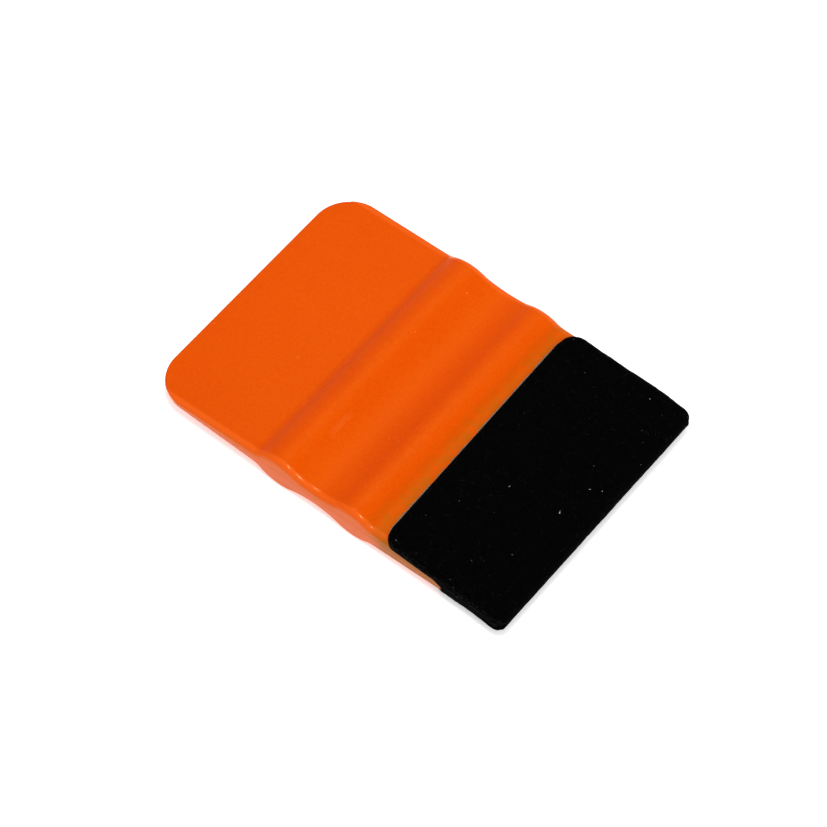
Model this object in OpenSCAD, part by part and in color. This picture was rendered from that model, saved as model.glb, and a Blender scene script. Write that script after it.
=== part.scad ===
// Squeegee applicator: a moulded card with a blade at each end, a finger grip across
// its middle and a felt sleeve folded over one of the two working edges.
// Frame: X across the card, Y along it with the felt edge at -Y, Z up. The origin is the
// middle of the overall length and width, on the surface that the grip stands on.

/* [Card] */
// Width of the moulded card
card_w = 69.6; // [50:0.1:120]
// Length of the moulded card, from the bare edge to the edge inside the felt
card_l = 100.5; // [90:0.1:160]
// Plan radius of the two corners at the bare edge
bare_corner_r = 9.4; // [3:0.1:14]
// Plan radius of the two corners inside the felt
felt_corner_r = 2.5; // [2:0.1:8]
// Thickness of the bare blade at its working edge
bare_edge_t = 0.6; // [0.4:0.1:1.5]
// Thickness of the bare blade where it meets the grip
bare_root_t = 5; // [3:0.1:6]
// Thickness of the felted blade at its working edge
felt_edge_t = 2.5; // [1:0.1:3]
// Thickness of the felted blade where it meets the grip
felt_root_t = 6.5; // [4:0.1:7.5]

/* [Grip] */
// Thickness over the two grip ridges
grip_t = 9.2; // [8:0.1:12]
// Thickness at the bottom of the finger scoops, half way between the ridges
waist_t = 4.8; // [3:0.1:6]
// Distance between the crest lines of the two ridges
ridge_gap = 20.9; // [18:0.1:30]
// Distance from the bare edge to the middle of the grip
grip_from_bare = 48.5; // [40:0.1:51]
// Radius of each ridge's rounded crest
crest_r = 8.8; // [5:0.1:11]
// Radius of the hollow where a ridge runs out onto a blade
foot_r = 4; // [3:0.1:10]

/* [Felt] */
// Thickness of the felt
felt_t = 1; // [0.6:0.1:2]
// Length of the felt on the top face, from the card's edge
top_leaf_l = 33; // [25:0.1:35]
// Length of the felt on the bottom face, from the card's edge
bottom_leaf_l = 18.4; // [12:0.1:24]
// How far the two pressed leaves reach past each side of the card
side_lip = 0.2; // [0.1:0.1:1.5]
// Plan radius of the felt's inner corners
leaf_corner_r = 3; // [1:0.5:5]

/* [Adhesive] */
// Thickness of the adhesive film under the felt
film_t = 0.1; // [0.05:0.01:0.3]

/* [Hidden] */
$fn = 96;

// Stations along Y
overall_l = card_l + film_t + felt_t;
bare_y = overall_l / 2;
felt_y = bare_y - card_l;
grip_y = bare_y - grip_from_bare;
bare_crest_y = grip_y + ridge_gap / 2;
felt_crest_y = grip_y - ridge_gap / 2;
nose_y = felt_y + felt_edge_t / 2;
top_leaf_y = felt_y + top_leaf_l;
bottom_leaf_y = felt_y + bottom_leaf_l;

// Height of the card's middle plane over the surface it stands on
mid_z = grip_t / 2;

// Each ridge crest is an arc, and one larger arc, tangent to both, makes the scoop
crest_v = grip_t / 2 - crest_r;
scoop_rise = (grip_t - waist_t) / 2;
arc_span = (pow(ridge_gap / 2, 2) + pow(scoop_rise, 2)) / (2 * scoop_rise);
scoop_r = arc_span - crest_r;
scoop_v = waist_t / 2 + scoop_r;
scoop_tilt = asin((scoop_v - crest_v) / arc_span);

// A cutter stands this far past what it cuts, and an outline this far past what it bounds
clear = 5;

// Number of flats along each ridge arc, foot arc and rounded edge, and along a scoop
arc_steps = 14;
scoop_steps = 32;

// Points of an arc about centre c, from angle a0 to angle a1
function arc(c, r, a0, a1, steps) =
    [for (i = [0:steps]) let (a = a0 + (a1 - a0) * i / steps) c + r * [cos(a), sin(a)]];

function mirrored(points, axis) =
    [for (i = [len(points) - 1:-1:0]) [points[i][0] * axis[0], points[i][1] * axis[1]]];

function shifted(points, y) = [for (p = points) [p[0] + y, p[1]]];

// Slope at which one face of a blade closes on the middle plane
function blade_slope(length, root_t, edge_t) = (root_t - edge_t) / 2 / (length - edge_t / 2);

// Distance from a crest line to the centre of its foot arc, which touches the crest's
// arc and the face of a blade
function foot_reach(root_v, slope) =
    let (
        rise = root_v + foot_r * sqrt(1 + slope * slope) - crest_v,
        reach = crest_r + foot_r,
        a = 1 + slope * slope,
        b = rise * slope
    )
    (b + sqrt(b * b - a * (rise * rise - reach * reach))) / a;

// Upper outline of one end of the card, from its rounded edge at length in to the foot
// of the ridge and up over the crest, where the crest line is at 0
function end_outline(length, root_t, edge_t) =
    let (
        slope = blade_slope(length, root_t, edge_t),
        foot_u = foot_reach(root_t / 2, slope),
        foot_v = root_t / 2 + foot_r * sqrt(1 + slope * slope) - slope * foot_u,
        to_foot = atan2(foot_v - crest_v, foot_u)
    )
    concat(
        arc([length - edge_t / 2, 0], edge_t / 2, 0, 90 - atan(slope), arc_steps),
        arc([foot_u, foot_v], foot_r, 270 - atan(slope), 180 + to_foot, arc_steps),
        arc([0, crest_v], crest_r, to_foot, 180 - scoop_tilt, arc_steps)
    );

// Upper outline of the whole card, from the bare edge to the felted one
function upper_outline() =
    concat(
        shifted(end_outline(bare_y - bare_crest_y, bare_root_t, bare_edge_t), bare_crest_y),
        arc([grip_y, scoop_v], scoop_r, -scoop_tilt, scoop_tilt - 180, scoop_steps),
        shifted(
            mirrored(end_outline(felt_crest_y - felt_y, felt_root_t, felt_edge_t), [-1, 1]),
            felt_crest_y
        )
    );

// Half thickness of the felted blade at station y
function felt_half(y) =
    felt_root_t / 2
    - (felt_crest_y - y) * blade_slope(felt_crest_y - felt_y, felt_root_t, felt_edge_t);

// The card's section along Y, about its middle plane
module card_section() {
    upper = upper_outline();
    polygon(concat(upper, mirrored(upper, [1, -1])));
}

// What lies within a layer of thickness t around the felted blade, the blade included
module wrap_section(t) {
    polygon(concat(
        [[bottom_leaf_y, 0], [top_leaf_y, 0], [top_leaf_y, felt_half(top_leaf_y) + t]],
        arc([nose_y, 0], felt_edge_t / 2 + t, 90, 270, 2 * arc_steps),
        [[bottom_leaf_y, -felt_half(bottom_leaf_y) - t]]
    ));
}

// A rectangle in plan from y0 to y1, with its own radius at each end
module rounded_plan(w, y0, y1, r0, r1) {
    translate([-w / 2, y0 + r0]) square([w, y1 - y0 - r0 - r1]);
    for (end = [[y0 + r0, r0, y0], [y1 - r1, r1, y1 - r1]]) {
        translate([-w / 2 + end[1], end[2]]) square([w - 2 * end[1], end[1]]);
        for (side = [-1, 1]) {
            translate([side * (w / 2 - end[1]), end[0]]) circle(r = end[1]);
        }
    }
}

// A section drawn in Y and Z, drawn out across the card and placed at its height
module across(w) {
    translate([0, 0, mid_z]) rotate([90, 0, 90]) linear_extrude(w, center = true) children();
}

// A plan outline, drawn out through the whole thickness
module upright() {
    translate([0, 0, -clear]) linear_extrude(grip_t + 2 * clear) children();
}

module card_solid() {
    intersection() {
        across(card_w) card_section();
        upright() rounded_plan(card_w, felt_y, bare_y, felt_corner_r, bare_corner_r);
    }
}

// The wrapped layer with its outer face t over the card, lip past each side of it where
// both leaves are present
module wrap_solid(t, lip) {
    intersection() {
        across(card_w + 2 * lip) wrap_section(t);
        upright() {
            rounded_plan(card_w, felt_y - t, top_leaf_y, felt_corner_r, leaf_corner_r);
            rounded_plan(card_w + 2 * lip, felt_y - t, bottom_leaf_y, felt_corner_r + lip, leaf_corner_r);
        }
    }
}

module squeegee_body() {
    color("orangered") card_solid();
}

module adhesive_film() {
    color("gainsboro") difference() {
        wrap_solid(film_t, 0);
        card_solid();
    }
}

module felt_sleeve() {
    color([0.05, 0.05, 0.05]) difference() {
        wrap_solid(film_t + felt_t, side_lip);
        wrap_solid(film_t, 0);
        card_solid();
    }
}

squeegee_body();
adhesive_film();
felt_sleeve();
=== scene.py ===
"""Squeegee applicator: a moulded card, the felt folded over one of its edges with its loose fibres and
lint, and the adhesive film between them.

Everything is in metres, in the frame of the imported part: X across the card, Y along it with the felt
at -Y, Z up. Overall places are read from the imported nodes. The rest are the named sizes below.
"""

import math

import bpy
import numpy as np
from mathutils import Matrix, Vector, noise


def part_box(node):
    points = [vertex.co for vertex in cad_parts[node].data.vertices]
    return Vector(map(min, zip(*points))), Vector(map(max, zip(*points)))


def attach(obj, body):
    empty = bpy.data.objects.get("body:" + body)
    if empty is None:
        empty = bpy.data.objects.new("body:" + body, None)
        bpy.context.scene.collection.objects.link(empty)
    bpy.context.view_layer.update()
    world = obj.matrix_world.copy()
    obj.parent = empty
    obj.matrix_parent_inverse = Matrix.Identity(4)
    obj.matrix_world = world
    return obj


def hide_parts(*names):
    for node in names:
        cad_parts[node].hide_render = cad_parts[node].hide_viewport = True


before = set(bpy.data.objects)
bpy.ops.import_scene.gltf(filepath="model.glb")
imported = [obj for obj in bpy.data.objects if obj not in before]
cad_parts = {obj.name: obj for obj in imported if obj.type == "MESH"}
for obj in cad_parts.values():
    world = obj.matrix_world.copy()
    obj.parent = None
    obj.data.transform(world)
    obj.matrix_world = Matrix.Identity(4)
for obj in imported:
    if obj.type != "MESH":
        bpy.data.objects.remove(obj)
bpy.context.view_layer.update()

MM = 0.001
TINY = 1e-12
RNG = np.random.default_rng(20)

# --- Sizes of the card, as in the design ---
BARE_CORNER_R = 9.4 * MM
FELT_CORNER_R = 2.5 * MM
BARE_EDGE_T = 0.6 * MM
BARE_ROOT_T = 5 * MM
FELT_EDGE_T = 2.5 * MM
FELT_ROOT_T = 6.5 * MM
WAIST_T = 4.8 * MM
RIDGE_GAP = 20.9 * MM
GRIP_FROM_BARE = 48.5 * MM
CREST_R = 8.8 * MM
FOOT_R = 4 * MM

# --- Finer shape of the card ---
# Rounding of the side edges, above and below, and the most it takes of a blade's half thickness
EDGE_ROUND = {1: 1.5 * MM, -1: 0.9 * MM}
EDGE_SHARE = 0.45
# An edge thinner than this on each side of its middle is rounded nearly to a half circle, and so is
# the felted edge
THIN_HALF = 0.5 * MM
FULL_SHARE = 0.95
# Parting line round the side wall: half its height, and how far it stands out
PARTING_HALF = 0.12 * MM
PARTING_PROUD = 0.012 * MM
# Unevenness as waves: each one's height, the distance between its hills, its cut through the noise
FACE_WAVES = ((0.022 * MM, 17 * MM, 0.3), (0.011 * MM, 6 * MM, 0.7))
# The face waves fade out this near the card's middle plane, and stand no further proud than this
WAVE_FADE = 1 * MM
WAVE_PROUD = 0.02 * MM

# --- Sizes of the felt and film, as in the design ---
FELT_T = 1 * MM
FILM_T = 0.1 * MM
BOTTOM_LEAF_L = 18.4 * MM

# --- Finer shape of the felt ---
# Rounding of the felt's inner corners: the long leaf's at -X and at +X, then both of the short leaf's
LEAF_CORNER_R = {-1: 3 * MM, 1: 4.3 * MM}
SHORT_CORNER_R = 3 * MM
FOLD_CORNER_R = FELT_CORNER_R + 0.2 * MM
# Half the height of the seam where the two leaves are pressed together past the card's sides, at -X and
# at +X, where they were pressed less
SEAM_HALF = {-1: 1.15 * MM, 1: 1.75 * MM}
# Half the gap left inside the seam
SEAM_GAP = 0.03 * MM
# Width of the stretch beside each side edge where a pressed leaf bends down to the seam
PRESS_W = 2.1 * MM
# Where the side edges start to be pressed together, past the short leaf's inner edge, and over what
# length they go from lying flat to being pressed
PRESS_START = 0.2 * MM
PRESS_RUN = 3 * MM
# How much further the long leaf reaches at +X than at -X
LEAF_SKEW = 1.4 * MM
# How much wider the lip is at +X, and the share of that which is gone at the fold
FAR_LIP = 0.35 * MM
FAR_LIP_LOSS = 0.8
# How much the lip at -X bulges at the fold, and how near the fold both of these happen
FOLD_BULGE = 0.5 * MM
FOLD_REACH = 8 * MM
# How far the long leaf's side edge at -X hangs down over the card's rounded side
NEAR_HANG = 0.95 * MM
# How far a flat leaf's outer and inner skin sink at a side edge, over what width, and the share of it
# that is left where the edge hangs
OUTER_SINK = 0.35 * MM
INNER_SINK = 0.2 * MM
SINK_W = 0.9 * MM
HANG_SINK = 0.4
# The nap's waves: each one's height and the distance between its hills, and how far it sinks in all
NAP_WAVES = ((0.045 * MM, 4 * MM), (0.04 * MM, 1.3 * MM), (0.03 * MM, 0.55 * MM))
NAP_SINK = 0.05 * MM
# The trimmed side edges are wavy in this width, and trimmed back by this much
TRIM_WAVES = ((0.09 * MM, 5 * MM, 4.2), (0.05 * MM, 1.4 * MM, 1.7))
TRIM_W = 1.2 * MM
TRIM_BACK = 0.05 * MM

# --- Finer shape of the film ---
# How far it shows past the long leaf's inner edge, how uneven its own edge is, and how far it stays in
# from the card's sides
FILM_PROUD = 0.5 * MM
FILM_WAVES = ((0.22 * MM, 3 * MM, 2.6), (0.16 * MM, 0.9 * MM, 5.1))
FILM_INSET = 0.9 * MM
# Gap kept between the skins of two pieces that lie on each other
SKIN_GAP = 0.01 * MM

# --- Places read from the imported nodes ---
card_low, card_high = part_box("squeegee_body")
_, felt_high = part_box("felt_sleeve")
HALF_W = card_high.x
LIP = felt_high.x - card_high.x
BARE_Y = card_high.y
FELT_Y = card_low.y
TOP_LEAF_Y = felt_high.y
BOTTOM_LEAF_Y = FELT_Y + BOTTOM_LEAF_L
GRIP_T = card_high.z - card_low.z
MID_Z = (card_high.z + card_low.z) / 2
GRIP_Y = BARE_Y - GRIP_FROM_BARE
NOSE_Y = FELT_Y + FELT_EDGE_T / 2

# --- Fineness of the meshes ---
BLADE_STEPS = 70
FOOT_STEPS = 18
CREST_STEPS = 30
SCOOP_STEPS = 44
FELT_CORNER_STEPS = 14
BARE_CORNER_STEPS = 30
EDGE_STEPS = 8
CARD_COLUMNS = 96
# Stations of the straight side keep this far from those of the corners
STATION_GAP = 0.2 * MM
# Rows down the long leaf, round the fold and back along the short leaf
FELT_ROWS = (88, 22, 48)
FILM_ROWS = (60, 14, 34)
# Columns beside each side edge, and across all the rest
FELT_SIDE_COLUMNS = 15
FILM_SIDE_COLUMNS = 3
FILM_SIDE_W = 1 * MM
SHEET_COLUMNS = 150


# ---------------------------------------------------------------- section of the card

def arc(centre, radius, start, end, steps):
    """Points of an arc in the YZ plane, about centre, from angle start to angle end in degrees."""
    angles = np.radians(np.linspace(start, end, steps))
    return np.column_stack([centre[0] + radius * np.cos(angles), centre[1] + radius * np.sin(angles)])


def end_outline(length, root_t, edge_t, scoop_tilt):
    """Upper outline of one end of the card, from its edge in to the foot arc and over the crest at 0."""
    slope = (root_t - edge_t) / 2 / (length - edge_t / 2)
    stretch = math.hypot(1, slope)
    crest_v = GRIP_T / 2 - CREST_R
    reach = CREST_R + FOOT_R
    rise = root_t / 2 + FOOT_R * stretch - crest_v
    lean = rise * slope
    foot_u = (lean + math.sqrt(lean**2 - stretch**2 * (rise**2 - reach**2))) / stretch**2
    foot_v = root_t / 2 + FOOT_R * stretch - slope * foot_u
    to_foot = math.degrees(math.atan2(foot_v - crest_v, foot_u))
    tilt = math.degrees(math.atan(slope))
    touch_u = foot_u - FOOT_R * math.sin(math.radians(tilt))
    blade_u = np.linspace(length, touch_u, BLADE_STEPS, endpoint=False)
    blade = np.column_stack([blade_u, root_t / 2 - slope * blade_u])
    foot = arc((foot_u, foot_v), FOOT_R, 270 - tilt, 180 + to_foot, FOOT_STEPS)
    crest = arc((0, crest_v), CREST_R, to_foot, 180 - scoop_tilt, CREST_STEPS)
    return np.vstack([blade, foot, crest[1:]])


def card_outline():
    """Stations along the card and its half thickness at each, from the felted edge to the bare one."""
    rise = (GRIP_T - WAIST_T) / 2
    span = ((RIDGE_GAP / 2) ** 2 + rise**2) / (2 * rise)
    scoop_v = WAIST_T / 2 + span - CREST_R
    tilt = math.degrees(math.asin((scoop_v - GRIP_T / 2 + CREST_R) / span))
    bare_crest = GRIP_Y + RIDGE_GAP / 2
    felt_crest = GRIP_Y - RIDGE_GAP / 2
    bare = end_outline(BARE_Y - bare_crest, BARE_ROOT_T, BARE_EDGE_T, tilt)
    felt = end_outline(felt_crest - FELT_Y, FELT_ROOT_T, FELT_EDGE_T, tilt)
    scoop = arc((GRIP_Y, scoop_v), span - CREST_R, tilt - 180, -tilt, SCOOP_STEPS)[1:-1]
    return np.vstack([felt * (-1, 1) + (felt_crest, 0), scoop, bare[::-1] + (bare_crest, 0)])


OUTLINE = card_outline()


def card_half(y):
    """Half thickness of the card at station y."""
    return np.interp(y, OUTLINE[:, 0], OUTLINE[:, 1])


# ---------------------------------------------------------------- mesh helpers

def make_piece(name, points, faces):
    """A smooth-shaded piece of the part, as a mesh in the part's frame."""
    mesh = bpy.data.meshes.new(name)
    mesh.from_pydata([tuple(point) for point in points], [], faces)
    mesh.validate()
    mesh.polygons.foreach_set("use_smooth", [True] * len(mesh.polygons))
    mesh.update()
    piece = bpy.data.objects.new(name, mesh)
    bpy.context.scene.collection.objects.link(piece)
    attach(piece, "root")
    return piece


def grid_faces(index, flip=False):
    """Quads over a grid of vertex numbers."""
    corners = [index[:-1, :-1], index[1:, :-1], index[1:, 1:], index[:-1, 1:]]
    quads = np.stack(corners, axis=-1).reshape(-1, 4)
    if flip:
        quads = quads[:, ::-1]
    return quads.tolist()


def ripple(x, y, z, pitch):
    """Smooth noise from about -1 to 1 at points given in metres, with hills about pitch apart."""
    x, y, z = np.broadcast_arrays(x, y, z)
    places = np.column_stack([x.ravel(), y.ravel(), z.ravel()]) / pitch
    values = [noise.noise(Vector(place)) for place in places]
    return np.reshape(values, x.shape)


def smooth_step(value):
    """0 below 0, 1 above 1, and a soft S between them."""
    value = np.clip(value, 0, 1)
    return value * value * (3 - 2 * value)


# ---------------------------------------------------------------- moulded card

def card_stations():
    """Stations, plan half widths and plan normals down one side of the card, felted end first."""
    felt_turn = np.radians(np.linspace(90, 0, FELT_CORNER_STEPS))
    bare_turn = np.radians(np.linspace(0, 90, BARE_CORNER_STEPS))
    felt_arc_y = FELT_Y + FELT_CORNER_R * (1 - np.sin(felt_turn))
    bare_arc_y = BARE_Y - BARE_CORNER_R * (1 - np.sin(bare_turn))
    straight = OUTLINE[:, 0]
    straight = straight[straight > felt_arc_y[-1] + STATION_GAP]
    straight = straight[straight < bare_arc_y[0] - STATION_GAP]
    y = np.concatenate([felt_arc_y, straight, bare_arc_y])
    half_w = np.concatenate([
        HALF_W - FELT_CORNER_R * (1 - np.cos(felt_turn)),
        np.full(len(straight), HALF_W),
        HALF_W - BARE_CORNER_R * (1 - np.cos(bare_turn)),
    ])
    nx = np.concatenate([np.cos(felt_turn), np.ones(len(straight)), np.cos(bare_turn)])
    ny = np.concatenate([-np.sin(felt_turn), np.zeros(len(straight)), np.sin(bare_turn)])
    return y, half_w, nx, ny


def build_card():
    """The card as a skin of rings round its edge, closed by a grid on each face."""
    columns = CARD_COLUMNS
    y, half_w, nx, ny = card_stations()
    rows = len(y)
    felt_run = np.linspace(-half_w[0], half_w[0], columns + 1)[1:-1]
    bare_run = np.linspace(half_w[-1], -half_w[-1], columns + 1)[1:-1]
    edge = np.vstack([
        np.column_stack([half_w, y]),
        np.column_stack([bare_run, np.full(columns - 1, BARE_Y)]),
        np.column_stack([-half_w, y])[::-1],
        np.column_stack([felt_run, np.full(columns - 1, FELT_Y)]),
    ])
    outward = np.vstack([
        np.column_stack([nx, ny]),
        np.tile([0, 1], (columns - 1, 1)),
        np.column_stack([-nx, ny])[::-1],
        np.tile([0, -1], (columns - 1, 1)),
    ])
    count = len(edge)
    half = card_half(edge[:, 1])
    at_felted_end = np.abs(outward[:, 1]) * (edge[:, 1] < 0)

    def rounding(side):
        """The edge's radius all round: full on the thin bare edge and on the felted end."""
        radius = np.minimum(EDGE_ROUND[side], EDGE_SHARE * half)
        radius = np.where(half < THIN_HALF, FULL_SHARE * half, radius)
        return radius + at_felted_end * (FULL_SHARE * FELT_EDGE_T / 2 - radius)

    radii = {side: rounding(side) for side in EDGE_ROUND}

    points = []
    top_rings = []
    bottom_rings = []
    number = 0

    def add_ring(place, height):
        """One closed ring of points, as their numbers."""
        nonlocal number
        points.extend(np.column_stack([place, MID_Z + height]))
        number += count
        return np.arange(number - count, number)

    def add_edge_ring(turn, side):
        """A ring on the rounded edge, at an angle that goes from the wall to the face."""
        radius = radii[side]
        place = edge - outward * (radius * (1 - math.cos(turn)))[:, None]
        height = card_half(place[:, 1]) - radius * (1 - math.sin(turn))
        return add_ring(place, side * height)

    for turn in np.radians(np.linspace(0, 90, EDGE_STEPS)):
        top_rings.append(add_edge_ring(turn, 1))
        bottom_rings.append(add_edge_ring(turn, -1))

    # A faint parting line runs round the middle of the side wall
    parting = []
    flat = (half - np.maximum(radii[1], radii[-1])) / 2
    for rise, proud in ((PARTING_HALF, 0), (0, PARTING_PROUD), (-PARTING_HALF, 0)):
        parting.append(add_ring(edge + outward * proud, np.clip(rise, -flat, flat)))

    rings = top_rings[::-1] + parting + bottom_rings
    faces = []
    for upper, lower in zip(rings, rings[1:]):
        band = np.stack([np.append(upper, upper[0]), np.append(lower, lower[0])])
        faces += grid_faces(band)

    def close_face(ring, flip):
        """A grid inside the innermost ring of one face, level with its two sides on every row."""
        nonlocal number
        index = np.empty((rows, columns + 1), int)
        index[:, -1] = ring[:rows]
        index[:, 0] = ring[rows + columns - 1:2 * rows + columns - 1][::-1]
        index[-1, 1:-1] = ring[rows:rows + columns - 1][::-1]
        index[0, 1:-1] = ring[2 * rows + columns - 1:]
        share = np.linspace(0, 1, columns + 1)[1:-1]
        known = np.array(points)
        left = known[index[1:-1, 0]]
        right = known[index[1:-1, -1]]
        inner = left[:, None] + (right - left)[:, None] * share[None, :, None]
        points.extend(inner.reshape(-1, 3))
        index[1:-1, 1:-1] = np.arange(number, number + inner[..., 0].size).reshape(rows - 2, columns - 1)
        number += inner[..., 0].size
        return grid_faces(index, flip)

    faces += close_face(top_rings[-1], True)
    faces += close_face(bottom_rings[-1], False)

    # Moulded faces are never quite true: they sink and sway by a few hundredths of a millimetre
    points = np.array(points)
    above = points[:, 2] - MID_Z
    sway = sum(height * ripple(points[:, 0], points[:, 1], cut, pitch) for height, pitch, cut in FACE_WAVES)
    points[:, 2] += np.sign(above) * sway * np.clip(np.abs(above) / WAVE_FADE, 0, 1)
    points[:, 2] = np.clip(points[:, 2], card_low.z, card_high.z + WAVE_PROUD)
    card = make_piece("moulded_card", points, faces)
    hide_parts("squeegee_body")
    return card


# ---------------------------------------------------------------- felt and film

def wrap_path(layer, rows):
    """A line that runs layer above the felted blade: down the long leaf, round the card's edge and back
    along the short leaf. Also says which of its points are on the long leaf's side.
    """
    top_y = np.linspace(TOP_LEAF_Y, NOSE_Y, rows[0], endpoint=False)
    nose = arc((NOSE_Y, 0), FELT_EDGE_T / 2 + layer, 90, 270, rows[1])
    bottom_y = np.linspace(NOSE_Y, BOTTOM_LEAF_Y, rows[2] + 1)[1:]
    path = np.vstack([
        np.column_stack([top_y, card_half(top_y) + layer]),
        nose,
        np.column_stack([bottom_y, -card_half(bottom_y) - layer]),
    ])
    return path, np.arange(len(path)) < rows[0] + rows[1] / 2


def corner_cut(distance, radius):
    """How far a rounded corner has drawn in the side at that distance from the corner's end edge."""
    inside = np.clip(radius - distance, 0, radius)
    return radius - np.sqrt(np.maximum(radius**2 - inside**2, 0))


def leaf_reach(y, on_top, fold_end, fold_corner_r, half_w):
    """How far a folded strip reaches to each side at its stations, with its corners rounded."""
    reach = {}
    for side, corner_r in LEAF_CORNER_R.items():
        drawn_in = corner_cut(y - fold_end, fold_corner_r)
        drawn_in += np.where(on_top, corner_cut(TOP_LEAF_Y - y, corner_r), 0)
        drawn_in += np.where(on_top, 0, corner_cut(BOTTOM_LEAF_Y - y, SHORT_CORNER_R))
        reach[side] = half_w - drawn_in
    return reach


def spread_columns(reach, side_columns, side_w):
    """The x of every column on each row, where each row has its own reach to -X and to +X: close columns
    in a stretch side_w wide beside each side edge, and even ones between them.
    """
    beside = np.linspace(0, side_w, side_columns)
    share = np.linspace(0, 1, SHEET_COLUMNS + 1)[1:-1]
    left = -reach[-1][:, None] + beside[None, :]
    right = reach[1][:, None] - beside[None, ::-1]
    inner = left[:, -1:] + (right[:, :1] - left[:, -1:]) * share[None, :]
    return np.hstack([left, inner, right])


def along_leaf(y, on_top):
    """0 where the long leaf has the short one under it, rising to 1 at its inner edge."""
    return (smooth_step((y - BOTTOM_LEAF_Y) / (TOP_LEAF_Y - BOTTOM_LEAF_Y)) * on_top)[:, None]


def shoulder_drop(past_wall, edge_round):
    """How far the card's rounded side has dropped, from all of it at 0 to none at 1."""
    return edge_round * (1 - np.sqrt(1 - (1 - past_wall) ** 2))


def sheet_faces(rows, columns):
    """A closed sheet of two skins, the outer one first, joined round all four edges."""
    outer = np.arange(rows * columns).reshape(rows, columns)
    inner = outer + rows * columns
    rim_out = np.concatenate([outer[0, :-1], outer[:-1, -1], outer[-1, :0:-1], outer[:0:-1, 0]])
    rim_in = rim_out + rows * columns
    band = np.stack([np.append(rim_out, rim_out[0]), np.append(rim_in, rim_in[0])])
    return grid_faces(outer) + grid_faces(inner, True) + grid_faces(band)


def felt_skin(layer, is_outer):
    """One skin of the folded felt, as rows along the fold's path and columns across it, and how far in
    from the nearer side edge each point is.
    """
    path, on_top = wrap_path(layer, FELT_ROWS)
    y = wrap_path(FILM_T + FELT_T, FELT_ROWS)[0][:, 0]
    pressed = smooth_step((BOTTOM_LEAF_Y - PRESS_START - y) / PRESS_RUN)
    fold_end = FELT_Y - FILM_T - FELT_T
    reach = leaf_reach(y, on_top, fold_end, FOLD_CORNER_R, HALF_W + LIP * pressed)
    reach[-1] = reach[-1] + LIP * (1 - pressed) * on_top
    x = spread_columns(reach, FELT_SIDE_COLUMNS, PRESS_W)
    inset = np.clip(np.where(x > 0, reach[1][:, None], reach[-1][:, None]) - np.abs(x), 0, PRESS_W)
    by_fold = smooth_step((FELT_Y + FOLD_REACH - y) / FOLD_REACH)[:, None]
    pressed = pressed[:, None]

    rise = np.abs(path[:, 1])[:, None]
    side = np.sign(path[:, 1])[:, None]
    hangs = on_top[:, None] & (x < 0)
    at_edge = (1 - np.clip(inset / SINK_W, 0, 1)) ** 2
    if is_outer:
        round_share = np.sqrt(np.clip(1 - (1 - inset / PRESS_W) ** 2, 0, 1))
        seam_half = SEAM_HALF[-1] + np.where(x > 0, SEAM_HALF[1] - SEAM_HALF[-1], 0) * (1 - by_fold)
        edge_rise = np.minimum(seam_half, rise)
        pressed_z = edge_rise + (rise - edge_rise) * round_share
        hang = NEAR_HANG * (1 - np.clip((HALF_W + LIP - np.abs(x)) / PRESS_W, 0, 1)) ** 2
        flat_z = rise - OUTER_SINK * at_edge * np.where(hangs, HANG_SINK, 1) - hang * hangs
    else:
        edge_round = np.where(side > 0, EDGE_ROUND[1], EDGE_ROUND[-1])
        past_lip = np.clip((inset - LIP) / edge_round, 0, 1)
        pressed_z = np.where(inset < LIP, SEAM_GAP, rise - shoulder_drop(past_lip, edge_round))
        past_wall = np.clip((HALF_W - np.abs(x)) / edge_round, 0, 1)
        hang = np.minimum(NEAR_HANG, shoulder_drop(past_wall, edge_round))
        flat_z = rise - np.where(hangs, hang, INNER_SINK * at_edge)
    z = side * (flat_z + (pressed_z - flat_z) * pressed)

    # The long leaf was laid a little askew, most at its inner edge
    rows_y = path[:, :1] + along_leaf(y, on_top) * LEAF_SKEW / 2 * x / HALF_W
    if is_outer:
        far_growth = FAR_LIP * pressed * (1 - FAR_LIP_LOSS * by_fold)
        growth = np.where(x > 0, far_growth, FOLD_BULGE * by_fold)
        x = x + np.sign(x) * growth * np.clip(1 - inset / PRESS_W, 0, 1)
    return np.stack([x, rows_y, z], axis=-1), inset


def skin_normals(grid):
    """Unit normals of a skin, pointing away from the card."""
    normals = np.cross(np.gradient(grid, axis=0), np.gradient(grid, axis=1))
    return normals / np.maximum(np.linalg.norm(normals, axis=-1, keepdims=True), TINY)


def build_felt():
    """The folded felt, a closed sheet with an uneven nap, and a wavy trimmed edge."""
    outer, inset = felt_skin(FILM_T + FELT_T, True)
    inner, _ = felt_skin(FILM_T + SKIN_GAP, False)
    normals = skin_normals(outer)
    x, y, z = outer[..., 0], outer[..., 1], outer[..., 2]
    nap = sum(height * ripple(x, y, z, pitch) for height, pitch in NAP_WAVES) - NAP_SINK
    outer = outer + normals * nap[..., None]
    trim = sum(height * ripple(y, z, cut, pitch) for height, pitch, cut in TRIM_WAVES) - TRIM_BACK
    outer[..., 0] += np.sign(x) * trim * np.clip(1 - inset / TRIM_W, 0, 1)
    rows, columns = x.shape
    points = np.vstack([outer.reshape(-1, 3), inner.reshape(-1, 3)]) + (0, 0, MID_Z)
    felt = make_piece("folded_felt", points, sheet_faces(rows, columns))
    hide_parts("felt_sleeve")
    return felt, outer, normals


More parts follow.
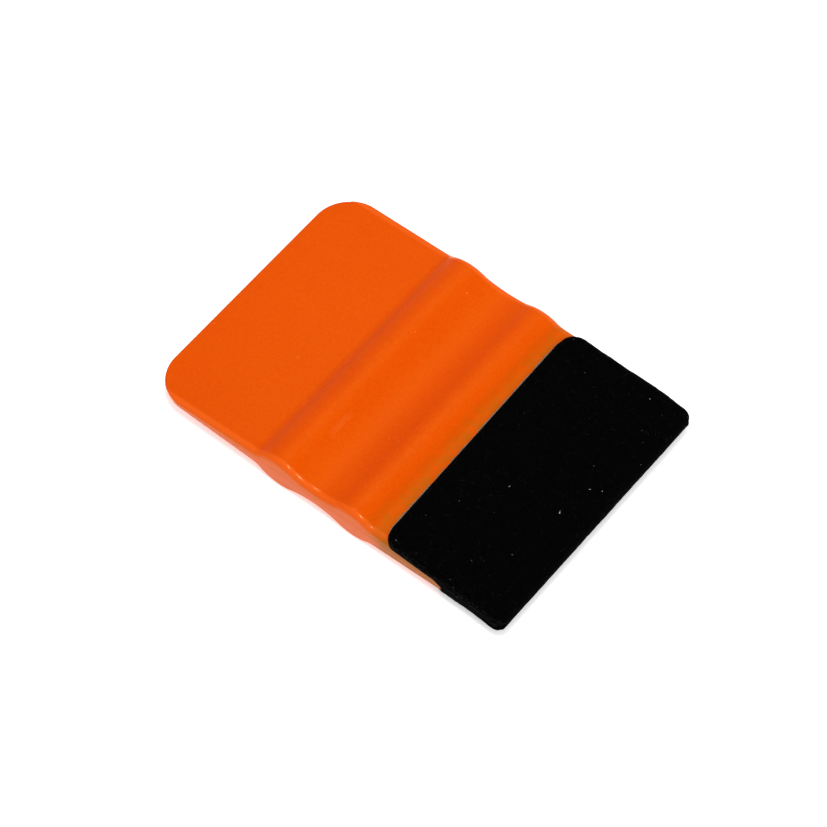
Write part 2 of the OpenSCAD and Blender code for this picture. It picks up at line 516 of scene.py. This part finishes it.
def build_film():
    """The adhesive film: it shows as an uneven hairline past the long leaf's inner edge."""
    skins = []
    for layer in (FILM_T - SKIN_GAP, SKIN_GAP / 2):
        path, on_top = wrap_path(layer, FILM_ROWS)
        y = path[:, 0]
        reach = leaf_reach(y, on_top, FELT_Y - FILM_T, FELT_CORNER_R, HALF_W - FILM_INSET)
        x = spread_columns(reach, FILM_SIDE_COLUMNS, FILM_SIDE_W)
        uneven = sum(height * ripple(x, cut, 0, pitch) for height, pitch, cut in FILM_WAVES)
        shift = LEAF_SKEW / 2 * x / HALF_W + FILM_PROUD + uneven
        rows_y = y[:, None] + along_leaf(y, on_top) * shift
        rise = np.repeat(path[:, 1:], x.shape[1], axis=1)
        skins.append(np.stack([x, rows_y, rise], axis=-1))
    rows, columns = skins[0].shape[:2]
    points = np.vstack([skin.reshape(-1, 3) for skin in skins]) + (0, 0, MID_Z)
    film = make_piece("adhesive_backing", points, sheet_faces(rows, columns))
    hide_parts("adhesive_film")
    return film


# ---------------------------------------------------------------- loose fibres and lint

FIBRE_STEPS = 3
FIBRE_SIDES = 3
# How much of its thickness a fibre loses towards its tip
FIBRE_TAPER = 0.6
# How strongly a fibre curls every way and back towards the felt, for its length
FIBRE_CURL = 0.35
FIBRE_DROOP = 0.15
# How far from its skin point a fibre may be rooted, and how deep
ROOT_SPREAD = 0.2 * MM
ROOT_DEPTH = 0.04 * MM
# Rows and columns of the felt's grid, counted in from its edges: those of its trimmed rim, those kept
# clear of fibres of the open felt, and those of the side seams
RIM_ROWS = 2
RIM_COLUMNS = 4
OPEN_ROWS = 4
OPEN_COLUMNS = 6
SEAM_COLUMNS = 5


def fibre_tube(root, direction, bend, length, radius):
    """Points and faces of one curved fibre that tapers to its tip."""
    direction = direction / np.linalg.norm(direction)
    aside = np.cross(direction, bend)
    aside /= max(np.linalg.norm(aside), TINY)
    up = np.cross(aside, direction)
    points = []
    for i in range(FIBRE_STEPS + 1):
        share = i / FIBRE_STEPS
        centre = root + direction * length * share + bend * length * share**2
        thin = radius * (1 - FIBRE_TAPER * share)
        for k in range(FIBRE_SIDES):
            turn = 2 * math.pi * k / FIBRE_SIDES
            points.append(centre + thin * (math.cos(turn) * aside + math.sin(turn) * up))
    index = np.arange(len(points)).reshape(FIBRE_STEPS + 1, FIBRE_SIDES)
    faces = grid_faces(np.hstack([index, index[:, :1]]))
    faces.append(index[0, ::-1].tolist())
    faces.append(index[-1].tolist())
    return points, faces


def build_fibres(name, roots, normals, count, length, radius, lift):
    """Fibres that stand from the felt at random roots, as one mesh."""
    points = []
    faces = []
    picks = RNG.integers(0, len(roots), count)
    for pick in picks:
        normal = normals[pick]
        loose = RNG.normal(size=3)
        flat = loose - normal * loose.dot(normal)
        flat /= max(np.linalg.norm(flat), TINY)
        direction = flat + normal * RNG.uniform(*lift)
        bend = RNG.normal(size=3) * FIBRE_CURL - normal * FIBRE_DROOP
        size = RNG.uniform(*length)
        jitter = RNG.uniform(-ROOT_SPREAD, ROOT_SPREAD, 3)
        root = roots[pick] + (jitter - normal * jitter.dot(normal)) - normal * ROOT_DEPTH
        tube, sides = fibre_tube(root, direction, bend, size, RNG.uniform(*radius))
        faces += [[corner + len(points) for corner in face] for face in sides]
        points += tube
    piece = make_piece(name, np.array(points) + (0, 0, MID_Z), faces)
    return piece


def build_felt_fuzz(skin, normals):
    """Loose fibre of four kinds: black along the trimmed edges and over the nap, and pale lint on the
    open felt and along the pressed side seams.
    """
    rim = np.zeros(skin.shape[:2], bool)
    rim[:, :RIM_COLUMNS] = True
    rim[:, -RIM_COLUMNS:] = True
    rim[:RIM_ROWS, :] = True
    rim[-RIM_ROWS:, :] = True
    inside = (slice(OPEN_ROWS, -OPEN_ROWS), slice(OPEN_COLUMNS, -OPEN_COLUMNS))
    open_skin = skin[inside].reshape(-1, 3)
    open_normals = normals[inside].reshape(-1, 3)
    seam = skin[..., 1] < BOTTOM_LEAF_Y
    seam[:, SEAM_COLUMNS:-SEAM_COLUMNS] = False
    edge_fibres = build_fibres(
        "felt_edge_fibres", skin[rim], normals[rim], count=2600,
        length=(0.25 * MM, 0.75 * MM), radius=(0.009 * MM, 0.016 * MM), lift=(0.1, 0.7),
    )
    nap_fibres = build_fibres(
        "felt_nap_fibres", open_skin, open_normals, count=3600,
        length=(0.4 * MM, 1.3 * MM), radius=(0.008 * MM, 0.014 * MM), lift=(0.02, 0.2),
    )
    lint = build_fibres(
        "pale_lint", open_skin, open_normals, count=56,
        length=(0.12 * MM, 0.42 * MM), radius=(0.05 * MM, 0.13 * MM), lift=(0.05, 0.4),
    )
    seam_lint = build_fibres(
        "seam_lint", skin[seam], normals[seam], count=90,
        length=(0.12 * MM, 0.4 * MM), radius=(0.02 * MM, 0.04 * MM), lift=(0.1, 0.7),
    )
    return edge_fibres, nap_fibres, lint, seam_lint


# ---------------------------------------------------------------- nodes of a finish

# Places of the Mix node's two colours among its inputs, and of its colour among its outputs
MIX_COLOURS = (6, 7)
MIX_RESULT = 2


class Signal:
    """A shader socket that Python's operators work on: each one adds a Math node."""

    def __init__(self, tree, socket):
        self.tree = tree
        self.socket = socket

    def math(self, operation, *terms):
        """Adds a Math node that works on the terms, whether sockets or numbers."""
        node = self.tree.nodes.new("ShaderNodeMath")
        node.operation = operation
        for place, term in zip(node.inputs, terms):
            if isinstance(term, Signal):
                self.tree.links.new(term.socket, place)
            else:
                place.default_value = term
        return Signal(self.tree, node.outputs[0])

    def __add__(self, other):
        return self.math("ADD", self, other)

    def __sub__(self, other):
        return self.math("SUBTRACT", self, other)

    def __rsub__(self, other):
        return self.math("SUBTRACT", other, self)

    def __mul__(self, other):
        return self.math("MULTIPLY", self, other)

    __radd__ = __add__
    __rmul__ = __mul__

    def __abs__(self):
        return self.math("ABSOLUTE", self)

    def above(self, level):
        """1 where it is above a level, else 0."""
        return self.math("GREATER_THAN", self, level)

    def below(self, level):
        """1 where it is below a level, else 0."""
        return self.math("LESS_THAN", self, level)

    def at_least(self, other):
        """The larger of two."""
        return self.math("MAXIMUM", self, other)

    def limited(self, low, high):
        """Itself between low and high, and level past them."""
        return self.math("MINIMUM", self.at_least(low), high)

    def swing(self, weight):
        """How far it is from its middle of 0.5, times weight."""
        return (self - 0.5) * weight

    def ramp(self, start, end):
        """0 at start and 1 at end, straight between them and level past them."""
        return ((self - start) * (1 / (end - start))).limited(0, 1)


class Nodes:
    """A node tree, with one way to add any node but a Math node."""

    def __init__(self, tree):
        self.tree = tree

    def node(self, kind, settings=None, inputs=None, output=0):
        """Adds a node: its settings first, then the values or links of its sockets."""
        node = self.tree.nodes.new("ShaderNode" + kind)
        for setting, value in (settings or {}).items():
            setattr(node, setting, value)
        for place, value in (inputs or {}).items():
            if isinstance(value, Signal):
                self.tree.links.new(value.socket, node.inputs[place])
            else:
                node.inputs[place].default_value = value
        return Signal(self.tree, node.outputs[output])


class Finish(Nodes):
    """A material: its shader with the even values set, and the patterns that drive the rest."""

    def __init__(self, name, **even):
        self.material = bpy.data.materials.new(name)
        self.material.use_nodes = True
        super().__init__(self.material.node_tree)
        self.shader = self.tree.nodes["Principled BSDF"]
        for words, value in even.items():
            self.shader.inputs[words.replace("_", " ").title().replace("Ior", "IOR")].default_value = value

    def place(self):
        """Where a point is on the object, in metres."""
        return self.node("TexCoord", output="Object")

    def axes(self):
        """The object's place as three signals, across, along and up."""
        place = self.node("SeparateXYZ", inputs={"Vector": self.place()}).socket.node
        return [Signal(self.tree, place.outputs[axis]) for axis in "XYZ"]

    def stretched(self, scale, turn=0.0):
        """The object's place, turned about Z and scaled along each axis."""
        return self.node(
            "Mapping", inputs={"Vector": self.place(), "Rotation": (0, 0, turn), "Scale": scale}
        )

    def grain(self, per_metre, detail=3.0, roughness=0.5, vector=None):
        """Noise from 0 to 1 with that many hills to a metre, or to each unit of another vector."""
        return self.node(
            "TexNoise",
            inputs={
                "Vector": vector or self.place(),
                "Scale": per_metre,
                "Detail": detail,
                "Roughness": roughness,
            },
        )

    def streaks(self, scale, turn=0.0, detail=3.0, roughness=0.5):
        """Noise with its own number of hills to a metre along each axis, turned about Z."""
        return self.grain(1, detail, roughness, self.stretched(scale, turn))

    def cells(self, per_metre, output):
        """Voronoi cells: the distance to a cell's seed, or the cell's own colour."""
        return self.node(
            "TexVoronoi",
            inputs={"Vector": self.place(), "Scale": per_metre, "Randomness": 1.0},
            output=output,
        )

    def blend(self, share, first, second):
        """A colour between two, by share."""
        node = self.node("Mix", {"data_type": "RGBA"}, {"Factor": share}).socket.node
        for place, value in zip(MIX_COLOURS, (first, second)):
            if isinstance(value, Signal):
                self.tree.links.new(value.socket, node.inputs[place])
            else:
                node.inputs[place].default_value = (*value, 1)
        return Signal(self.tree, node.outputs[MIX_RESULT])

    def bump(self, height, distance, strength=1.0, under=None):
        """A normal tilted by a height, over another bump if one is given."""
        inputs = {"Height": height, "Distance": distance, "Strength": strength}
        if under is not None:
            inputs["Normal"] = under
        return self.node("Bump", inputs=inputs)

    def drive(self, **sockets):
        """Links what varies over the surface to the shader."""
        for words, signal in sockets.items():
            self.tree.links.new(signal.socket, self.shader.inputs[words.replace("_", " ").title()])

    def put_on(self, *pieces):
        """Gives the finish to pieces, in place of any other."""
        for piece in pieces:
            piece.data.materials.clear()
            piece.data.materials.append(self.material)


# ---------------------------------------------------------------- orange plastic

# Colours are linear shares of red, green and blue
DEEP_ORANGE = (0.636, 0.0515, 0.0)
BRIGHT_ORANGE = (0.714, 0.0775, 0.0)
# Paler orange for the side wall: a painted reflection of the pale floor
WALL_PAINTED_REFLECTION = (0.64, 0.094, 0.0)
# Brighter orange for the rounded rim: painted light
RIM_PAINTED_LIGHT = (0.86, 0.12, 0.003)
# Darker, duller orange beside a leaf's inner edge: adhesive haze and painted shade from the felt
FACE_HAZE_AND_SHADE = (0.36, 0.095, 0.002)
# Brown for the side wall under the long leaf: adhesive haze and painted shade from the felt
WALL_HAZE_AND_SHADE = (0.28, 0.090, 0.002)
SMUDGE_TINT = (0.85, 0.22, 0.05)
SPECK_TINT = (0.95, 0.30, 0.04)
SCRATCH_TINT = (0.95, 0.3, 0.08)

# Bands beside an edge: the distance from it where a band starts, and where it is full. The rounded rim
# and the side wall are measured in from the card's side, and so is the adhesive haze and painted shade
# on the wall. The haze and painted shade on a face are measured from the leaf's inner edge, and so is
# how far along the wall its haze and shade start.
RIM_BAND = (1.75 * MM, 1.25 * MM)
WALL_BAND = (0.35 * MM, 0.05 * MM)
WALL_HAZE_AND_SHADE_BAND = (0.9 * MM, 0)
FACE_HAZE_AND_SHADE_BAND = (5.6 * MM, 2.4 * MM)
WALL_HAZE_AND_SHADE_START = (2.6 * MM, -0.4 * MM)

# Grain sizes, as hills to a metre. The melt's flow and the scratches have one for each axis.
FLOW_GRAIN = (95, 22, 60)
CLOUD_GRAIN = 38
MOTTLE_GRAIN = 1700
SMEAR_AND_SHADE_GRAIN = 420
TEXTURE_GRAIN = 5200
SCRATCH_GRAIN = (2600, 46, 700)

# Middle and size of the rubbed smudge on the grip
SMUDGE_AT = (-17.7 * MM, 8.7 * MM)
SMUDGE_SIZE = (8.6 * MM, 1.7 * MM)
# Specks: cells to a metre, a speck's radius as a share of a cell, and the level a cell is picked above
SPECK_CELLS = 240
SPECK_R = 0.042
SPECK_PICK = 0.55
# Scratches run three ways: each one's turn in radians, and the level that the noise shows above
SCRATCH_WAYS = ((0.5, 0.745), (-0.75, 0.76), (1.35, 0.755))


def face_smudge(across, along):
    """One long faint patch near the grip's end, 1 at its middle, where fingers have rubbed the face."""
    x = (across - SMUDGE_AT[0]) * (2 / SMUDGE_SIZE[0])
    y = (along - SMUDGE_AT[1]) * (2 / SMUDGE_SIZE[1])
    return (1 - x * x).limited(0, 1) * (1 - y * y).limited(0, 1)


def face_specks(finish):
    """Small pale specks, in some of the cells only."""
    pick = finish.node("SeparateColor", inputs={"Color": finish.cells(SPECK_CELLS, "Color")}, output="Red")
    return finish.cells(SPECK_CELLS, "Distance").below(SPECK_R) * pick.above(SPECK_PICK)


def face_scratches(finish):
    """Fine straight scratches that cross each other."""
    scratches = None
    for turn, level in SCRATCH_WAYS:
        line = finish.streaks(SCRATCH_GRAIN, turn, detail=1.0).above(level)
        scratches = line if scratches is None else scratches + line
    return scratches.limited(0, 1)


def orange_plastic():
    """Satin moulded plastic: finely mottled, glossier on its rounded side rims, with painted light on the
    rims and a painted reflection of the floor on the side wall, hazed with adhesive and painted shade
    beside the felt, and lightly worn.
    """
    finish = Finish(
        "orange_plastic", specular_ior_level=0.32, ior=1.49, specular_tint=(1, 0.5, 0.01, 1),
        coat_roughness=0.09,
    )
    across, along, up = finish.axes()
    from_side = HALF_W - abs(across)
    rim = from_side.ramp(*RIM_BAND)
    wall = from_side.ramp(*WALL_BAND)
    rim_only = rim * (1 - wall)

    # The colour clouds over and drifts with the melt's flow, and is finely mottled
    flow = finish.streaks(FLOW_GRAIN, roughness=0.55)
    cloud = finish.grain(CLOUD_GRAIN, 2.0)
    mottle = finish.grain(MOTTLE_GRAIN, 2.0, 0.6)
    shade = cloud.swing(0.42) + flow.swing(0.28) + mottle.swing(1.5) + 0.5
    colour = finish.blend(shade.limited(0, 1), DEEP_ORANGE, BRIGHT_ORANGE)
    # The side wall is painted paler: a painted reflection of the pale floor
    colour = finish.blend(wall * 0.9, colour, WALL_PAINTED_REFLECTION)
    # The rounded rim is painted brighter: painted light
    colour = finish.blend(rim_only * 0.5, colour, RIM_PAINTED_LIGHT)

    # Adhesive haze, and painted shade from the felt, past each leaf's inner edge and along the side wall
    # under the long leaf
    smear_and_shade_noise = finish.grain(SMEAR_AND_SHADE_GRAIN, 4.0, 0.65)
    leaf_edge = BOTTOM_LEAF_Y + (TOP_LEAF_Y - BOTTOM_LEAF_Y) * up.above(MID_Z)
    face_haze_and_shade = (along - leaf_edge).ramp(*FACE_HAZE_AND_SHADE_BAND) * smear_and_shade_noise.ramp(0.288, 0.673)
    under_leaf = (along - TOP_LEAF_Y).ramp(*WALL_HAZE_AND_SHADE_START)
    wall_haze_and_shade = from_side.ramp(*WALL_HAZE_AND_SHADE_BAND) * (under_leaf + smear_and_shade_noise.swing(0.5)).limited(0, 1)
    # Darker beside a leaf's inner edge: adhesive haze and painted shade from the felt
    colour = finish.blend(face_haze_and_shade * 0.62, colour, FACE_HAZE_AND_SHADE)
    # The side wall under the long leaf is painted brown: adhesive haze and painted shade from the felt
    colour = finish.blend(wall_haze_and_shade * (0.55 + 0.45 * smear_and_shade_noise), colour, WALL_HAZE_AND_SHADE)

    smudge = face_smudge(across, along)
    scratches = face_scratches(finish)
    colour = finish.blend(smudge * smear_and_shade_noise * 0.22, colour, SMUDGE_TINT)
    colour = finish.blend(face_specks(finish) * 0.6, colour, SPECK_TINT)
    colour = finish.blend(scratches * 0.05, colour, SCRATCH_TINT)

    texture = finish.grain(TEXTURE_GRAIN, 2.0, 0.6)
    roughness = (0.38 + 0.08 * cloud + 0.05 * texture + 0.1 * scratches) * (1 - 0.62 * rim_only)
    normal = finish.bump(texture, distance=0.016 * MM, strength=0.45)
    normal = finish.bump(1 - scratches, distance=0.006 * MM, strength=0.4, under=normal)
    coat = 0.3 * rim * (1 - 0.6 * wall) * (1 - wall_haze_and_shade)
    finish.drive(base_color=colour, roughness=roughness, normal=normal, coat_weight=coat)
    return finish


# ---------------------------------------------------------------- felt, lint, film and floor

FELT_DARK = (0.0001, 0.0001, 0.0001)
FELT_TUFT = (0.0022, 0.0022, 0.0022)
FIBRE_DARK = (0.003, 0.003, 0.003)
FIBRE_LIGHT = (0.022, 0.022, 0.024)
LINT_GREY = (0.04, 0.042, 0.045)
LINT_WHITE = (0.85, 0.85, 0.82)
FILM_DARK = (0.20, 0.15, 0.11)
FILM_MILKY = (0.42, 0.36, 0.30)
FILM_BUBBLE = (0.72, 0.68, 0.64)
FLOOR_LOW = (0.93, 0.93, 0.93)
FLOOR_HIGH = (0.95, 0.95, 0.95)

# Matted strands run three ways, each with its turn in radians, and are long and thin
STRAND_TURNS = (0.2, 1.25, 2.3)
STRAND_GRAIN = (5200, 900, 2600)
CLUMP_GRAIN = 420
FIBRE_GRAIN = 1800
LINT_GRAIN = 330
MILK_GRAIN = 700
FLOOR_GRAIN = 3
# Trapped bubbles: cells to a metre, and a bubble's radius as a share of a cell
BUBBLE_CELLS = 2600
BUBBLE_R = 0.22


def black_felt():
    """Dense needled felt: matted fibres run every way, with small lighter tufts."""
    finish = Finish(
        "black_felt", specular_ior_level=0.02, sheen_weight=0.01, sheen_roughness=0.6,
        sheen_tint=(0.35, 0.35, 0.37, 1),
    )
    mat = None
    for turn in STRAND_TURNS:
        strand = finish.streaks(STRAND_GRAIN, turn, detail=2.0, roughness=0.6)
        mat = strand if mat is None else mat.at_least(strand)
    clump = finish.grain(CLUMP_GRAIN, 4.0, 0.65)
    tufts = mat.swing(2.2).limited(0, 1) * (0.35 + 0.9 * clump)
    colour = finish.blend(tufts.limited(0, 1), FELT_DARK, FELT_TUFT)
    normal = finish.bump(mat, distance=0.09 * MM, strength=0.8)
    normal = finish.bump(clump, distance=0.14 * MM, strength=0.5, under=normal)
    finish.drive(base_color=colour, roughness=0.93 + 0.07 * clump, normal=normal)
    return finish


def loose_black_fibre():
    """Single fibres, a little shinier than the matted felt."""
    finish = Finish("loose_black_fibre", specular_ior_level=0.25, sheen_weight=0.1, sheen_roughness=0.5)
    shade = finish.grain(FIBRE_GRAIN, 2.0)
    colour = finish.blend(shade, FIBRE_DARK, FIBRE_LIGHT)
    finish.drive(base_color=colour, roughness=0.6 + 0.3 * shade)
    return finish


def lint_fibre():
    """Pale dust and lint, from grey to nearly white by where it lies."""
    finish = Finish("lint_fibre", specular_ior_level=0.3)
    shade = finish.grain(LINT_GRAIN, 2.0)
    colour = finish.blend(shade.ramp(0.42, 0.62), LINT_GREY, LINT_WHITE)
    finish.drive(base_color=colour, roughness=0.7 + 0.2 * shade)
    return finish


def clear_adhesive():
    """Clear pressure-sensitive film, slightly milky, with fine trapped bubbles and tinted by the card."""
    finish = Finish("clear_adhesive", specular_ior_level=0.5, ior=1.47)
    milk = finish.grain(MILK_GRAIN, 3.0)
    bubbles = finish.cells(BUBBLE_CELLS, "Distance").below(BUBBLE_R)
    colour = finish.blend(milk, FILM_DARK, FILM_MILKY)
    colour = finish.blend(bubbles * 0.4, colour, FILM_BUBBLE)
    normal = finish.bump(bubbles, distance=0.01 * MM, strength=0.5)
    finish.drive(base_color=colour, roughness=0.2 + 0.25 * milk, normal=normal)
    return finish


def pale_floor():
    """A white table top that glows a little itself, so that shadows on it stay faint."""
    finish = Finish(
        "pale_floor", roughness=0.9, specular_ior_level=0.2, emission_color=(1, 1, 1, 1),
        emission_strength=0.42,
    )
    shade = finish.grain(FLOOR_GRAIN, 2.0)
    finish.drive(base_color=finish.blend(shade, FLOOR_LOW, FLOOR_HIGH))
    return finish


# ---------------------------------------------------------------- floor, light and camera

FLOOR_HALF = 6
# The sky is brightest this way, as azimuth and elevation. It fades between two nearnesses to that way,
# which are cosines, and between two strengths.
SKY_TOWARDS = (-15, 40)
SKY_NEARNESS = (-0.5, 0.75)
SKY_STRENGTH = (0.3, 0.9)
# The camera's lens and sensor in its own millimetres, the point it looks at, its azimuth and elevation
# from there, and how far off it stands
LENS = 174.6
SENSOR_W = 36
CAMERA_TARGET = Vector((-2.706 * MM, -0.3 * MM, 3.26 * MM))
CAMERA_TOWARDS = (-51.31, 57.53)
CAMERA_FAR = 0.9028


def aim_at(thing, place, target):
    """Puts a lamp or camera at a place, pointing at a target."""
    thing.location = place
    thing.rotation_euler = (Vector(target) - Vector(place)).to_track_quat("-Z", "Y").to_euler()


def direction_from(azimuth, elevation):
    """Unit vector from the object towards a viewer, where azimuth 0 is on the -Y side."""
    a, e = math.radians(azimuth), math.radians(elevation)
    return Vector((math.sin(a) * math.cos(e), -math.cos(a) * math.cos(e), math.sin(e)))


def add_floor():
    """The table top that the card stands on."""
    mesh = bpy.data.meshes.new("floor")
    corners = [(x * FLOOR_HALF, y * FLOOR_HALF, 0) for x, y in ((-1, -1), (1, -1), (1, 1), (-1, 1))]
    mesh.from_pydata(corners, [], [(0, 1, 2, 3)])
    floor = bpy.data.objects.new("floor", mesh)
    bpy.context.scene.collection.objects.link(floor)
    pale_floor().put_on(floor)


def add_softbox(name, place, size, glow):
    """A rectangular lamp over the card. Glow is how bright a white card looks under it alone."""
    lamp = bpy.data.lights.new(name, "AREA")
    lamp.shape = "RECTANGLE"
    lamp.size, lamp.size_y = size
    lamp.energy = glow * math.pi**2 * Vector(place).length_squared
    box = bpy.data.objects.new(name, lamp)
    bpy.context.scene.collection.objects.link(box)
    aim_at(box, place, (0, 0, MID_Z))


def add_sky():
    """Soft light from all round, brighter from the felted side and fading towards the far horizon."""
    world = bpy.data.worlds.new("studio")
    world.use_nodes = True
    sky = Nodes(world.node_tree)
    toward = sky.node(
        "VectorMath", {"operation": "DOT_PRODUCT"},
        {0: sky.node("TexCoord", output="Generated"), 1: direction_from(*SKY_TOWARDS)}, "Value",
    )
    strength = sky.node(
        "MapRange", {"interpolation_type": "SMOOTHSTEP"},
        {
            "Value": toward,
            "From Min": SKY_NEARNESS[0], "From Max": SKY_NEARNESS[1],
            "To Min": SKY_STRENGTH[0], "To Max": SKY_STRENGTH[1],
        },
        "Result",
    )
    backdrop = sky.tree.nodes["Background"]
    backdrop.inputs["Color"].default_value = (1, 1, 1, 1)
    sky.tree.links.new(strength.socket, backdrop.inputs["Strength"])
    bpy.context.scene.world = world


def add_light():
    """Soft light all round, a lamp behind the card and a narrow one high over it."""
    add_sky()
    add_softbox("rear_softbox", place=(0.132, 0.107, 0.316), size=(0.1, 0.1), glow=0.22)
    add_softbox("overhead_strip", place=(-0.1, -0.09, 0.58), size=(0.03, 0.14), glow=0.3)


def add_camera():
    """A long lens from the card's long side, high over the felted end."""
    camera_data = bpy.data.cameras.new("studio_camera")
    camera_data.sensor_width = SENSOR_W
    camera_data.lens = LENS
    camera = bpy.data.objects.new("studio_camera", camera_data)
    bpy.context.scene.collection.objects.link(camera)
    aim_at(camera, CAMERA_TARGET + direction_from(*CAMERA_TOWARDS) * CAMERA_FAR, CAMERA_TARGET)
    bpy.context.scene.camera = camera


# ---------------------------------------------------------------- the whole

card = build_card()
felt, felt_surface, felt_normals = build_felt()
film = build_film()
edge_fibres, nap_fibres, lint, seam_lint = build_felt_fuzz(felt_surface, felt_normals)

orange_plastic().put_on(card)
black_felt().put_on(felt)
loose_black_fibre().put_on(edge_fibres, nap_fibres)
lint_fibre().put_on(lint, seam_lint)
clear_adhesive().put_on(film)

add_floor()
add_light()
add_camera()
bpy.context.scene.view_settings.view_transform = "Standard"
